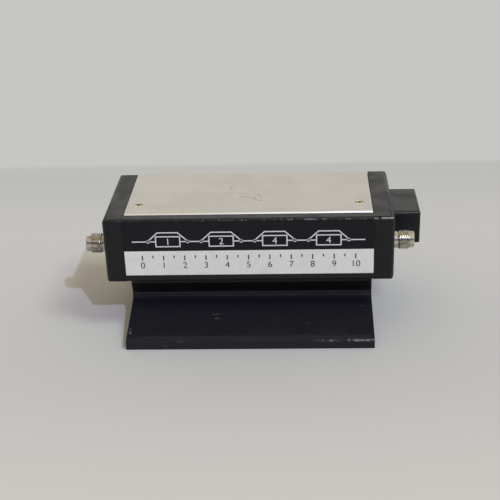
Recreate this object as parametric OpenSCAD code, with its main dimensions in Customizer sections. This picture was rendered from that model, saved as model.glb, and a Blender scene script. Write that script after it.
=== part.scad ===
// Coaxial step attenuator with four switched sections, on a flared stand. Millimetres.
// X runs along the signal line, Y from the label side to the back, Z up from the standing surface.

/* [Body] */
// Length over both end caps
body_l = 100.6; // [98:0.2:120]
// Depth from the label side to the back
body_d = 42.8; // [42:0.2:48]
// Height of the end caps
body_h = 24; // [23:0.1:28]
// Width of each end cap along the line
cap_w = 7; // [6:0.1:7.4]
// Radius round the outer face of a cap
cap_round = 1.7; // [0.4:0.1:2]
// Radius along the long edges of a cap
cap_edge = 1.1; // [0.3:0.1:1.4]
// How far the cover rises above the caps
cover_rise = 0.5; // [0.1:0.1:0.7]
// How far the back of the cover lies inside the caps
cover_inset = 0.4; // [0:0.1:0.8]
// Thickness of the folded cover sheet
sheet_t = 0.8; // [0.5:0.1:1]
// Outside bend radius of the cover
cover_bend = 2; // [1.2:0.1:3]
// Radius along the front edges of the cover
cover_edge = 1.5; // [0.8:0.1:2]
// Depth of the black ledge in front of the cover
ledge_d = 4.2; // [3:0.1:7]
// How far the ledge lies below the caps
ledge_drop = 0.1; // [0:0.05:0.3]
// Radius along the front edges of the ledge
ledge_round = 0.9; // [0.3:0.1:1.2]
// Depth of the machined block
block_d = 19; // [18.5:0.5:22]

/* [Labels] */
// Thickness of the label film
label_t = 0.2; // [0.1:0.05:0.4]
// Height of the white strip
strip_h = 9.3; // [6:0.1:10]
// Gap from the body's bottom to the white strip
strip_gap = 2.8; // [1.6:0.1:3]

/* [Ports] */
// Depth of the signal line behind the label side
rf_depth = 7.6; // [7:0.1:8]
// How far each port stands out of its cap
rf_reach = 7.2; // [7:0.1:10]
// Outside diameter of the coupling thread
thread_od = 7; // [6.6:0.1:8]
// Length of the coupling thread
thread_l = 3.8; // [2:0.1:4]
// Diameter of the plain nose
nose_od = 5.9; // [5.4:0.1:6.4]
// Length of the plain nose
nose_l = 1.65; // [1.2:0.05:2.6]
// Diameter of the neck behind the thread
neck_od = 6; // [5.4:0.1:6.4]
// Width of the relief groove behind the thread
groove_w = 0.4; // [0.3:0.1:0.8]
// Bore that takes the mating outer conductor
socket_d = 4.8; // [4.4:0.1:5]
// Depth of that bore
socket_depth = 2.2; // [1.6:0.1:3]
// Inside diameter of the outer conductor
line_d = 2.4; // [2:0.1:2.8]
// Diameter of the port's flange behind the cap
flange_d = 10; // [9:0.2:10.6]

/* [Header] */
// How far the shroud stands out of the right cap
header_reach = 10.5; // [9:0.1:13]
// Depth of the middle of the shroud behind the label side
header_depth = 28.2; // [27:0.1:29]
// Outside of the shroud from front to back
shroud_d = 22.1; // [20:0.1:23]
// Outside of the shroud from bottom to top
shroud_h = 12.4; // [10.5:0.1:14]
// Radius round the edges of the shroud
shroud_round = 1.1; // [0.4:0.1:1.3]
// Number of pins in each row
header_cols = 5; // [3:1:5]
// Pitch of the pins
header_pitch = 2.54; // [2:0.02:2.54]

/* [Sections] */
// Length at the body's ends that the sections leave free
end_room = 26.6; // [25:0.2:28]
// Stroke of a plunger
stroke = 0.8; // [0.4:0.1:1]
// Diameter of a plunger
plunger_d = 5; // [4:0.2:5.4]
// Diameter of a push pin
push_d = 1.2; // [1:0.1:1.4]
// Room behind the solenoids for the circuit board
back_room = 5; // [4.6:0.1:8]
// Thickness of the frame strip
frame_t = 1.2; // [0.8:0.1:1.4]
// Gap between a coil and its frame
coil_gap = 0.3; // [0.2:0.1:1.5]

/* [Stand] */
// Height of the body's bottom above the standing surface
stand_h = 20.1; // [19:0.1:32]
// Wall of the stand
stand_t = 3.4; // [2:0.1:3.8]
// Overall width of the feet from front to back
base_w = 67.8; // [62:0.2:90]
// Width of the flat top
stand_flat = 17.8; // [16:0.2:24]
// Lean of the webs
web_lean = 19; // [10:1:30]
// Slope of the feet
foot_slope = 14; // [8:1:16]
// Extra drop of the foot's nose
nose_drop = 7; // [3:1:20]
// Width of the flat that is cut under each foot
foot_flat = 0.8; // [0.4:0.1:2]

/* [Screws] */
// Distance of the cover screws from the body's ends
screw_inset = 11.5; // [10.8:0.1:12]
// Depth of the cover screws behind the label side
screw_depth = 11.8; // [11:0.1:14]
// Diameter of the screw shanks
screw_d = 2; // [1.6:0.1:2.2]
// Diameter of the countersunk heads
head_d = 3.2; // [3:0.1:3.6]

/* [Hidden] */
$fn = 48;
sections = 4;
// Clearances: a piece that locates in another, a screw in its hole, one that moves, and contacts that meet
slip = 0.05;
hole_gap = 0.1;
free = 0.3;
touch = 0.02;
// How far a cutting shape runs past a face
over = 1;

// The body: x from its middle, y as depth behind the label side, z from the signal line
half_l = body_l / 2;
half_in = half_l - cap_w;
half_h = body_h / 2;
mid_x = (rf_reach - header_reach) / 2;
cover_out = half_h + cover_rise;
cover_in = cover_out - sheet_t;
cover_back = body_d - cover_inset;
cover_gap = 0.4;
cover_end = half_in - cover_gap;
block_half = cover_in - slip;
ledge_half = half_h - ledge_drop;
// The cover's front edge is rounded down to the ledge, or nearly through the sheet
edge_left = 0.1;
edge_drop = min(cover_rise + ledge_drop, sheet_t - edge_left);
edge_from = ledge_d - cover_edge + sqrt(cover_edge * cover_edge - pow(cover_edge - edge_drop, 2));
strip_low = strip_gap - half_h;
strip_top = strip_low + strip_h;

// The screws
screw_x = half_l - screw_inset;
screw_r = screw_d / 2;
screw_l = 5;
bore_wall = 0.8;
stand_screw_depth = block_d - screw_r - bore_wall;
pan_lip = 0.9;
pan_r = screw_r + pan_lip;
pan_t = 1.5;
cap_screw_depth = 3.9;
cap_screw_drop = 4.25;
cap_screw_z = half_h - cap_screw_drop;
cap_bite = 4;
cap_sink = pan_t + free;
small_r = 0.8;
small_l = 3;
small_head_r = 1.2;
small_head_t = 0.9;
// Shares of a head's radius: half the length and half the width of its recess, and the top of a pan head
recess_l = 0.6;
recess_w = 0.14;
pan_top = 0.85;

// The signal channel and its switches
pitch = (body_l - end_room) / sections;
function section_x(i) = (i - (sections + 1) / 2) * pitch;
last_x = section_x(sections);
link_x = [for (i = [1 : sections - 1]) (section_x(i) + section_x(i + 1)) / 2];
reed_t = 0.2;
reed_w = 1.2;
card_t = 0.4;
line_t = 0.4;
tine_t = 0.2;
lap = 0.8;
// A reed lies between the ends of a section's own lines and the lines that link it to the next one
reed_from = 1.8;
reed_gap = 1.05;
reed_to = pitch / 2 - reed_gap;
reed_half = (reed_to - reed_from) / 2;
push_x = (reed_to + reed_from) / 2;
line_half = reed_from + lap;
push_r = push_d / 2;
post_r = 0.8;
rear_line = rf_depth + reed_t / 2 + touch;
front_line = rf_depth - reed_t / 2 - stroke - touch;
channel_floor = front_line - card_t;
channel_half = 2;
card_half = channel_half - free;
guide_gap = 2.6;
guide_front = rf_depth + guide_gap;
guide_t = 2;
guide_back = guide_front + guide_t;
guide_screw_z = 4.4;
pocket_half = 6.2;
cross_rim = 1;
cross_half = push_x + push_r + cross_rim;
cross_t = 1.5;
cross_gap = 1.6;
cross_back = block_d - cross_gap;
pocket_room = 2;
pocket_x = last_x + cross_half + pocket_room;
reed_end = last_x + reed_to;
fork_root = reed_end + touch + free;
fork_web_t = 0.6;
fork_end = fork_root + fork_web_t;
link_half = reed_gap + 2 * lap;
link_web = 0.5;

// The solenoids
frame_gap = 0.9;
frame_half = (pitch - frame_gap) / 2;
frame_back = cover_back - sheet_t - back_room;
rail_inset = 0.5;
frame_rail = block_half - rail_inset;
frame_limb = 7;
frame_screw_inset = 3;
frame_screw_x = frame_half - frame_screw_inset;
rail_screw = 1.2;
frame_screw_z = frame_rail - rail_screw;
plunger_r = plunger_d / 2;
magnet_t = 1.4;
plunger_back = frame_back - frame_t - magnet_t - slip;
bobbin_front = block_d + frame_t + slip;
bobbin_back = frame_back - frame_t - slip;
bobbin_bore = plunger_r + free;
bobbin_wall = 0.5;
bobbin_tube = bobbin_bore + bobbin_wall;
bobbin_rim = 1;
coil_r = frame_half - frame_t - coil_gap;
winding_inset = 0.4;
winding_r = coil_r - winding_inset;

// The boards and the header
board_t = 1.6;
spacer_t = 1;
spacer_r = 1.5;
spacer_z = 5;
board_front = frame_back + spacer_t;
board_back = board_front + board_t;
board_inset = 1.55;
board_half = cover_in - board_inset;
board_gap = 1.3;
board_end = half_in - board_gap;
rim_l = 1.5;
rim_wall = 1;
rim_gap = 0.15;
rim_out = cover_in - rim_gap;
rim_clear = 0.6;
rim_front = block_d + rim_clear;
rim_back = cover_back - sheet_t - free;
rim_round = cover_bend - sheet_t - rim_gap;
pocket_z = board_half + free;
cap_floor = 2;
pocket_floor = half_l - cap_floor;
pin_margin = 1.6;
header_board_front = header_depth - (header_cols - 1) / 2 * header_pitch - pin_margin;
shroud_end = half_l + header_reach;
shroud_side = 0.7;
shroud_wall = 1.45;
housing_d = shroud_d - 2 * shroud_side;
housing_h = shroud_h - 2 * shroud_wall;
housing_wall = 1.2;
housing_from = pocket_floor + slip;
housing_base = 2.5;
housing_floor = housing_from + housing_base;
mouth_gap = 0.6;
housing_mouth = shroud_end - mouth_gap;
key_half = 2.2;
header_pin = 0.64;
pin_gap = 2.8;
pin_end = shroud_end - pin_gap;
pin_tail = 0.5;
pad_r = 0.5;
header_board_x = pocket_floor - board_t;

// The ports, along the line from the block's end face
thread_r = thread_od / 2;
spigot_r = 3;
spigot_l = 5;
channel_x = half_in - spigot_l;
port_flange_t = 1.6;
port_tip = cap_w + rf_reach;
nose_at = port_tip - nose_l;
thread_at = nose_at - thread_l;
groove_at = thread_at - groove_w;
edge_cut = 0.25;
bead_r = 1.8;
bead_t = 1.2;
contact_r = 0.52;
contact_neck = 0.4;
contact_hole_r = 0.26;
contact_hole_l = 1.6;
contact_end = half_in + port_tip - socket_depth - hole_gap;

// The stand's centre line: [straight length, turn, radius] for each stretch of the bent strip
top_z = stand_h - cover_rise;
corner_in = 0.5;
corner_r = stand_t / 2 + corner_in;
waist_in = 2.5;
waist_r = stand_t / 2 + waist_in;
nose_r = 10;
nose_run = 1.6;
bend_steps = 8;
corner_turn = 90 + web_lean;
nose_slope = foot_slope + nose_drop;
edge_h = stand_t / cos(nose_slope) - foot_flat * tan(nose_slope);
drop_left = top_z - stand_t / 2 - edge_h + stand_t / 2 / cos(nose_slope)
    - corner_r * (1 - cos(corner_turn)) - waist_r * (cos(foot_slope) - cos(corner_turn))
    - nose_r * (cos(foot_slope) - cos(nose_slope)) - nose_run * sin(nose_slope);
run_left = base_w / 2 - stand_flat / 2 - corner_r * sin(corner_turn)
    - waist_r * (sin(corner_turn) - sin(foot_slope))
    - nose_r * (sin(nose_slope) - sin(foot_slope)) - nose_run * cos(nose_slope);
strip_det = sin(corner_turn) * cos(foot_slope) - cos(corner_turn) * sin(foot_slope);
web_l = (drop_left * cos(foot_slope) - run_left * sin(foot_slope)) / strip_det;
foot_l = (run_left * sin(corner_turn) - drop_left * cos(corner_turn)) / strip_det;
stand_bends = [
    [stand_flat / 2, -corner_turn, corner_r],
    [web_l, corner_turn - foot_slope, waist_r],
    [foot_l, -nose_drop, nose_r],
    [nose_run + over, 0, 0]];
stand_l = 2 * half_in;

// Points of one face of a bent strip, offset to the left of its centre line
function strip_side(bends, offset, p, heading, i = 0) =
    i == len(bends) ? [] :
    let (turn = bends[i][1], r = bends[i][2], way = sign(turn),
         left = [-sin(heading), cos(heading)],
         q = p + bends[i][0] * [cos(heading), sin(heading)],
         centre = q + way * r * left,
         last = heading + turn,
         round = [for (k = [1 : bend_steps]) let (h = heading + turn * k / bend_steps)
             centre + way * (r - way * offset) * [sin(h), -cos(h)]])
    concat(i == 0 ? [p + offset * left] : [], [q + offset * left], way == 0 ? [] : round,
        strip_side(bends, offset, way == 0 ? q : centre + way * r * [sin(last), -cos(last)], last, i + 1));

function flipped(points) = [for (p = points) [-p[0], p[1]]];
function backward(points) = [for (k = [len(points) - 1 : -1 : 0]) points[k]];
function rest_of(points) = [for (k = [1 : len(points) - 1]) points[k]];

// Placing
module in_body() {
    translate([mid_x, -body_d / 2, stand_h + half_h]) children();
}

module at_end(side) {
    mirror([side < 0 ? 1 : 0, 0, 0]) children();
}

module along_x(at, depth = rf_depth, z = 0) {
    translate([at, depth, z]) rotate([0, 90, 0]) children();
}

module along_y(x, depth, z = 0) {
    translate([x, depth, z]) rotate([-90, 0, 0]) children();
}

module box_between(low, high) {
    translate(low) cube(high - low);
}

// A flat shape of depth and height, drawn out along the line between two places
module drawn(from, to) {
    translate([from, 0, 0]) rotate([90, 0, 90]) linear_extrude(to - from) children();
}

// A rectangle with round corners, only on its far side unless all is set
module soft_rect(low, high, r, all = false) {
    near = all ? r : 0;
    translate([low[0] + near, low[1]]) square([high[0] - low[0] - r - near, high[1] - low[1]]);
    translate([low[0], low[1] + r]) square([high[0] - low[0], high[1] - low[1] - 2 * r]);
    for (y = [low[1] + r, high[1] - r]) {
        translate([high[0] - r, y]) circle(r);
        if (all) translate([low[0] + r, y]) circle(r);
    }
}

// A bar along the line whose far end and long edges are rounded
module soft_bar(low, high, end_r, edge_r) {
    intersection() {
        drawn(low[0], high[0]) soft_rect([low[1], low[2]], [high[1], high[2]], edge_r, true);
        translate([0, 0, low[2] - over]) linear_extrude(high[2] - low[2] + 2 * over)
            soft_rect([low[0], low[1]], [high[0], high[1]], end_r);
        translate([0, high[1] + over, 0]) rotate([90, 0, 0]) linear_extrude(high[1] - low[1] + 2 * over)
            soft_rect([low[0], low[2]], [high[0], high[2]], end_r);
    }
}

// A cross recess that is sunk from a head's top
module cross_recess(head_r, depth) {
    for (turn = [0, 90]) rotate([0, 0, turn])
        box_between([-recess_l * head_r, -recess_w * head_r, -depth],
            [recess_l * head_r, recess_w * head_r, over]);
}

// A screw along +Z with its head's seat at zero and its shank below
module pan_screw(shank_r, length, head_r, head_t) {
    translate([0, 0, -length]) cylinder(r = shank_r, h = length);
    difference() {
        cylinder(r1 = head_r, r2 = head_r * pan_top, h = head_t);
        translate([0, 0, head_t]) cross_recess(head_r, head_t / 2);
    }
}

// A countersunk screw along +Z with the top of its head at zero
module flat_screw(shank_r, length, head_r, head_t) {
    difference() {
        union() {
            translate([0, 0, -length]) cylinder(r = shank_r, h = length);
            translate([0, 0, -head_t]) cylinder(r1 = shank_r, r2 = head_r, h = head_t);
        }
        cross_recess(head_r, head_t / 2);
    }
}

// Outer pieces
module stand() {
    start = [0, top_z - stand_t / 2];
    outer = strip_side(stand_bends, stand_t / 2, start, 0);
    inner = strip_side(stand_bends, -stand_t / 2, start, 0);
    color([0.11, 0.11, 0.12]) translate([mid_x, 0, 0]) difference() {
        intersection() {
            drawn(-stand_l / 2, stand_l / 2) polygon(concat(outer, backward(inner),
                flipped(rest_of(inner)), backward(flipped(rest_of(outer)))));
            box_between([-stand_l, -base_w / 2, 0], [stand_l, base_w / 2, top_z]);
        }
        for (x = [-screw_x, screw_x]) translate([x, stand_screw_depth - body_d / 2, top_z - stand_t - over])
            cylinder(r = screw_r + free, h = stand_t + 2 * over);
    }
}

module stand_screws() {
    color([0.62, 0.6, 0.55]) in_body() for (x = [-screw_x, screw_x])
        translate([x, stand_screw_depth, -cover_out - stand_t]) rotate([180, 0, 0])
            pan_screw(screw_r, stand_t + sheet_t + screw_l, pan_r, pan_t);
}

module rf_block() {
    color([0.13, 0.13, 0.14]) in_body() difference() {
        drawn(-half_in, half_in) {
            translate([ledge_d, -ledge_half]) mirror([1, 0])
                soft_rect([0, 0], [ledge_d - label_t, 2 * ledge_half], ledge_round);
            translate([label_t + ledge_round, -block_half])
                square([block_d - label_t - ledge_round, 2 * block_half]);
        }
        box_between([-channel_x, channel_floor, -channel_half],
            [channel_x, guide_front + over, channel_half]);
        box_between([-pocket_x, guide_front, -pocket_half], [pocket_x, block_d + over, pocket_half]);
        for (side = [-1, 1]) at_end(side) {
            along_x(channel_x - over) cylinder(r = spigot_r + slip, h = spigot_l + 2 * over);
            for (z = [-1, 1]) along_x(half_in - cap_bite - over, cap_screw_depth, z * cap_screw_z)
                cylinder(r = screw_r + slip, h = cap_bite + 2 * over);
            for (at = [[screw_depth, block_half], [stand_screw_depth, -block_half]])
                translate([screw_x, at[0], at[1]])
                    cylinder(r = screw_r + slip, h = 2 * screw_l + 2 * over, center = true);
        }
        for (x = [-pitch, pitch], z = [-guide_screw_z, guide_screw_z])
            along_y(x, guide_front - small_l - over, z)
                cylinder(r = small_r + slip, h = small_l + 2 * over);
        for (i = [1 : sections], way = [-1, 1])
            along_y(section_x(i) + way * frame_screw_x, block_d - small_l - over, way * frame_screw_z)
                cylinder(r = small_r + slip, h = small_l + 2 * over);
    }
}

module wrap_cover() {
    color([0.73, 0.71, 0.66]) in_body() difference() {
        drawn(-cover_end, cover_end) difference() {
            intersection() {
                soft_rect([ledge_d, -cover_out], [cover_back, cover_out], cover_bend);
                translate([cover_back, -cover_out]) mirror([1, 0])
                    soft_rect([0, 0], [cover_back - edge_from, 2 * cover_out], cover_edge);
            }
            soft_rect([ledge_d - over, -cover_in], [cover_back - sheet_t, cover_in], cover_bend - sheet_t);
        }
        for (x = [-screw_x, screw_x]) {
            translate([x, screw_depth, cover_in - over])
                cylinder(r = screw_r + slip, h = sheet_t + 2 * over);
            translate([x, screw_depth, cover_in])
                cylinder(r1 = screw_r + slip, r2 = head_d / 2 + slip, h = sheet_t);
            translate([x, stand_screw_depth, -cover_out - over])
                cylinder(r = screw_r + hole_gap, h = sheet_t + 2 * over);
        }
    }
}

module cover_screws() {
    color([0.80, 0.66, 0.36]) in_body() for (x = [-screw_x, screw_x])
        translate([x, screw_depth, cover_out]) flat_screw(screw_r, screw_l, head_d / 2, sheet_t);
}

module end_cap_solid() {
    soft_bar([half_in, 0, -half_h], [half_l, body_d, half_h], cap_round, cap_edge);
    drawn(half_in - rim_l, half_in + over)
        soft_rect([rim_front, -rim_out], [rim_back, rim_out], rim_round);
}

module end_cap_cuts() {
    box_between([half_in - rim_l - over, rim_front + rim_wall, -pocket_z],
        [half_in + over, rim_back - rim_wall, pocket_z]);
    box_between([half_in, header_board_front - free, -pocket_z],
        [pocket_floor, rim_back - rim_wall, pocket_z]);
    along_x(half_in - over) cylinder(r = flange_d / 2 + free, h = port_flange_t + hole_gap + over);
    along_x(half_in) cylinder(r = thread_r + free, h = cap_w + over);
    for (z = [-cap_screw_z, cap_screw_z]) {
        along_x(half_in - over, cap_screw_depth, z) cylinder(r = screw_r + hole_gap, h = cap_w + 2 * over);
        along_x(half_l - cap_sink, cap_screw_depth, z) cylinder(r = pan_r + hole_gap, h = cap_sink + over);
    }
}

module left_end_cap() {
    color([0.15, 0.15, 0.16]) in_body() at_end(-1) difference() {
        end_cap_solid();
        end_cap_cuts();
    }
}

module right_end_cap() {
    color([0.15, 0.15, 0.16]) in_body() difference() {
        union() {
            end_cap_solid();
            soft_bar([half_in + cap_w / 2, header_depth - shroud_d / 2, -shroud_h / 2],
                [shroud_end, header_depth + shroud_d / 2, shroud_h / 2], shroud_round, shroud_round);
        }
        end_cap_cuts();
        box_between([pocket_floor, header_depth - housing_d / 2 - slip, -housing_h / 2 - slip],
            [shroud_end + over, header_depth + housing_d / 2 + slip, housing_h / 2 + slip]);
    }
}

module cap_screws() {
    shank = cap_w - cap_sink + cap_bite;
    color([0.30, 0.30, 0.31]) in_body() for (side = [-1, 1], z = [-cap_screw_z, cap_screw_z])
        at_end(side) along_x(half_l - cap_sink, cap_screw_depth, z) pan_screw(screw_r, shank, pan_r, pan_t);
}

module label_film(low, high) {
    box_between([-half_in + hole_gap, 0, low], [half_in - hole_gap, label_t, high]);
}

module name_label() {
    color([0.10, 0.10, 0.11]) in_body() label_film(strip_top, ledge_half - ledge_round);
}

module rating_label() {
    color([0.82, 0.82, 0.80]) in_body() label_film(strip_low, strip_top);
}

// Ports
module connector() {
    along_x(half_in) rotate_extrude() polygon([
        [bead_r + slip, -spigot_l], [spigot_r, -spigot_l], [spigot_r, 0], [flange_d / 2, 0],
        [flange_d / 2, port_flange_t], [neck_od / 2, port_flange_t], [neck_od / 2, groove_at],
        [neck_od / 2 - edge_cut, groove_at], [neck_od / 2 - edge_cut, thread_at],
        [thread_r - edge_cut, thread_at], [thread_r, thread_at + edge_cut],
        [thread_r, nose_at - edge_cut], [thread_r - edge_cut, nose_at],
        [nose_od / 2, nose_at], [nose_od / 2, port_tip - edge_cut],
        [nose_od / 2 - edge_cut, port_tip], [socket_d / 2, port_tip],
        [socket_d / 2, port_tip - socket_depth], [line_d / 2, port_tip - socket_depth],
        [line_d / 2, bead_t - spigot_l], [bead_r + slip, bead_t - spigot_l]]);
}

module bead() {
    along_x(channel_x) difference() {
        cylinder(r = bead_r, h = bead_t);
        translate([0, 0, -over]) cylinder(r = contact_neck + touch, h = bead_t + 2 * over);
    }
}

module fork(from, to) {
    for (tine = [[front_line - tine_t, front_line], [rear_line, rear_line + line_t]])
        box_between([from, tine[0], -reed_w / 2], [to, tine[1], reed_w / 2]);
}

module fork_web(from, to) {
    box_between([from, front_line - tine_t, -reed_w / 2], [to, rear_line + line_t, reed_w / 2]);
}

module center_contact() {
    shoulder = channel_x + bead_t + touch;
    difference() {
        union() {
            along_x(fork_root) cylinder(r = contact_neck, h = shoulder + over - fork_root);
            along_x(shoulder) cylinder(r = contact_r, h = contact_end - shoulder);
            fork(reed_end - lap, fork_end);
            fork_web(fork_root, fork_end);
        }
        along_x(contact_end - contact_hole_l) cylinder(r = contact_hole_r, h = contact_hole_l + over);
    }
}

module left_connector() { color([0.72, 0.69, 0.64]) in_body() at_end(-1) connector(); }
module right_connector() { color([0.72, 0.69, 0.64]) in_body() connector(); }
module left_bead() { color([0.93, 0.92, 0.88]) in_body() at_end(-1) bead(); }
module right_bead() { color([0.93, 0.92, 0.88]) in_body() bead(); }
module left_center_contact() { color([0.85, 0.70, 0.32]) in_body() at_end(-1) center_contact(); }
module right_center_contact() { color([0.85, 0.70, 0.32]) in_body() center_contact(); }

// The signal channel
module guide_plate() {
    edge = [pocket_x - hole_gap, guide_back, pocket_half - hole_gap];
    color([0.76, 0.74, 0.68]) in_body() difference() {
        box_between([-edge[0], guide_front, -edge[2]], edge);
        for (i = [1 : sections], way = [-1, 1]) along_y(section_x(i) + way * push_x, guide_front - over)
            cylinder(r = push_r + slip, h = guide_t + 2 * over);
        for (x = [-pitch, pitch], z = [-guide_screw_z, guide_screw_z]) along_y(x, guide_front - over, z)
            cylinder(r = small_r + hole_gap, h = guide_t + 2 * over);
    }
}

module guide_screws() {
    color([0.62, 0.60, 0.55]) in_body() for (x = [-pitch, pitch], z = [-guide_screw_z, guide_screw_z])
        along_y(x, guide_back, z) pan_screw(small_r, guide_t + small_l, small_head_r, small_head_t);
}

module line_posts() {
    color([0.93, 0.92, 0.88]) in_body() for (x = concat(link_x, [for (i = [1 : sections]) section_x(i)]))
        along_y(x, rear_line + line_t) cylinder(r = post_r, h = guide_front - rear_line - line_t);
}

module link_contacts() {
    color([0.85, 0.70, 0.32]) in_body() for (x = link_x) {
        fork(x - link_half, x + link_half);
        fork_web(x - link_web, x + link_web);
    }
}

module attenuator_card(i) {
    color([0.88, 0.86, 0.82]) in_body() translate([section_x(i), 0, 0])
        box_between([-line_half, channel_floor, -card_half], [line_half, front_line, card_half]);
}

module thru_lines() {
    color([0.85, 0.70, 0.32]) in_body() for (i = [1 : sections]) translate([section_x(i), 0, 0])
        box_between([-line_half, rear_line, -reed_w / 2], [line_half, rear_line + line_t, reed_w / 2]);
}

// The solenoids
module solenoid_frame(i) {
    color([0.55, 0.55, 0.56]) in_body() translate([section_x(i), 0, 0]) difference() {
        union() {
            box_between([-frame_half, block_d, -frame_rail], [frame_half, block_d + frame_t, frame_rail]);
            box_between([-frame_half, block_d, -frame_limb], [frame_half, frame_back, frame_limb]);
        }
        box_between([-frame_half + frame_t, block_d + frame_t, -frame_rail],
            [frame_half - frame_t, frame_back - frame_t, frame_rail]);
        along_y(0, block_d - over) cylinder(r = bobbin_bore, h = frame_t + 2 * over);
        for (way = [-1, 1]) along_y(way * frame_screw_x, block_d - over, way * frame_screw_z)
            cylinder(r = small_r + hole_gap, h = frame_t + 2 * over);
    }
}

module frame_screws() {
    color([0.62, 0.60, 0.55]) in_body() for (i = [1 : sections], way = [-1, 1])
        along_y(section_x(i) + way * frame_screw_x, block_d + frame_t, way * frame_screw_z)
            pan_screw(small_r, frame_t + small_l, small_head_r, small_head_t);
}

module bobbin(i) {
    color([0.20, 0.20, 0.22]) in_body() along_y(section_x(i), 0) rotate_extrude() polygon([
        [bobbin_bore, bobbin_front], [coil_r, bobbin_front], [coil_r, bobbin_front + bobbin_rim],
        [bobbin_tube, bobbin_front + bobbin_rim], [bobbin_tube, bobbin_back - bobbin_rim],
        [coil_r, bobbin_back - bobbin_rim], [coil_r, bobbin_back], [bobbin_bore, bobbin_back]]);
}

module winding(i) {
    color([0.62, 0.33, 0.16]) in_body() along_y(section_x(i), 0) rotate_extrude()
        translate([bobbin_tube + slip, bobbin_front + bobbin_rim + slip])
            square([winding_r - bobbin_tube - slip, bobbin_back - bobbin_front - 2 * bobbin_rim - 2 * slip]);
}

module latch_magnets() {
    color([0.45, 0.45, 0.47]) in_body() for (i = [1 : sections])
        along_y(section_x(i), frame_back - frame_t - magnet_t) cylinder(r = plunger_r, h = magnet_t);
}

module plunger(i) {
    root = cross_back - cross_t / 2;
    color([0.68, 0.68, 0.69]) in_body() translate([section_x(i), 0, 0]) {
        box_between([-cross_half, cross_back - cross_t, -cross_t], [cross_half, cross_back, cross_t]);
        along_y(0, root) cylinder(r = plunger_r, h = plunger_back - root);
    }
}

module push_pins(i) {
    pin_front = rf_depth + reed_t / 2;
    color([0.93, 0.92, 0.88]) in_body() for (way = [-1, 1]) along_y(section_x(i) + way * push_x, pin_front)
        cylinder(r = push_r, h = cross_back - cross_t - pin_front);
}

module reeds(i) {
    color([0.85, 0.70, 0.32]) in_body() for (way = [-1, 1])
        translate([section_x(i) + way * push_x, rf_depth, 0])
            cube([2 * reed_half, reed_t, reed_w], center = true);
}

// The boards and the header
module circuit_board() {
    color([0.12, 0.36, 0.22]) in_body()
        box_between([-board_end, board_front, -board_half], [header_board_x, board_back, board_half]);
}

module board_spacers() {
    color([0.85, 0.83, 0.76]) in_body() for (i = [1 : sections], z = [-spacer_z, spacer_z])
        along_y(section_x(i), frame_back, z) cylinder(r = spacer_r, h = spacer_t);
}

function header_at(row, col) =
    [header_depth + (col - (header_cols - 1) / 2) * header_pitch, (row - 0.5) * header_pitch];

module each_pin() {
    for (row = [0, 1], col = [0 : header_cols - 1]) let (at = header_at(row, col))
        translate([0, at[0], at[1]]) children();
}

module header_board() {
    color([0.12, 0.36, 0.22]) in_body() difference() {
        box_between([header_board_x, header_board_front, -board_half],
            [pocket_floor, board_back, board_half]);
        each_pin() along_x(header_board_x - over, 0) cylinder(r = pad_r, h = board_t + 2 * over);
    }
}

module header_housing() {
    low = [header_depth - housing_d / 2, -housing_h / 2];
    high = [header_depth + housing_d / 2, housing_h / 2];
    hole = header_pin / 2 + touch;
    color([0.08, 0.08, 0.08]) in_body() difference() {
        box_between([housing_from, low[0], low[1]], [housing_mouth, high[0], high[1]]);
        box_between([housing_floor, low[0] + housing_wall, low[1] + housing_wall],
            [housing_mouth + over, high[0] - housing_wall, high[1] - housing_wall]);
        box_between([housing_floor, header_depth - key_half, 0],
            [housing_mouth + over, header_depth + key_half, housing_h]);
        each_pin() box_between([housing_from - over, -hole, -hole], [housing_floor + over, hole, hole]);
    }
}

module header_pins() {
    color([0.83, 0.69, 0.34]) in_body() each_pin()
        box_between([header_board_x - pin_tail, -header_pin / 2, -header_pin / 2],
            [pin_end, header_pin / 2, header_pin / 2]);
}

stand();
stand_screws();
rf_block();
wrap_cover();
cover_screws();
left_end_cap();
right_end_cap();
cap_screws();
name_label();
rating_label();
left_connector();
right_connector();
left_bead();
right_bead();
left_center_contact();
right_center_contact();
guide_plate();
guide_screws();
line_posts();
link_contacts();
thru_lines();
latch_magnets();
frame_screws();
circuit_board();
board_spacers();
header_board();
header_housing();
header_pins();
for (i = [1 : sections]) {
    attenuator_card(i);
    solenoid_frame(i);
    bobbin(i);
    winding(i);
    plunger(i);
    push_pins(i);
    reeds(i);
}
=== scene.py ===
"""Looks of a coaxial step attenuator on a flared stand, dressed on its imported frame.

Blender lengths are in metres. A name that ends in _mm holds millimetres, and places are in the frame's axes:
X along the signal line, Y from the label side to the back, Z up from the standing surface.
"""

import logging
import math
from dataclasses import dataclass, field
from enum import Enum
from typing import Callable, Mapping, Sequence

import bmesh
import bpy
from mathutils import Matrix, Vector


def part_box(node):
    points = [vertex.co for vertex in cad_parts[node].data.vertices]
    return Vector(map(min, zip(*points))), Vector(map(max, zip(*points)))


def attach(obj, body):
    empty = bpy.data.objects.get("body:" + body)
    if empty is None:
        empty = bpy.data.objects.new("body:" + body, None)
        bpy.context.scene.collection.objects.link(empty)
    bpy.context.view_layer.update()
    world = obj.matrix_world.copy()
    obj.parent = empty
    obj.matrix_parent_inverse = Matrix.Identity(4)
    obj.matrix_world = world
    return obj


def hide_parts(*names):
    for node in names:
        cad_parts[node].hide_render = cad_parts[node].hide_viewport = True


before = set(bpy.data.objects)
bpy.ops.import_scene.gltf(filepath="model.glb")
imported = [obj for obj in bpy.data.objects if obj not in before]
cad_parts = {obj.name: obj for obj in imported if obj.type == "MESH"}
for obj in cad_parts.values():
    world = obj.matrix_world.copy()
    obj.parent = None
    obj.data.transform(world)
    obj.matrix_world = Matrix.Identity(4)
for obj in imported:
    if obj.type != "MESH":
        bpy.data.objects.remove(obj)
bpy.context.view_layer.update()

LOG = logging.getLogger("step_attenuator")
MM = 0.001
IMAGE_PX = 500
CHASSIS = "chassis"
SECTIONS = range(1, 5)
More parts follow.
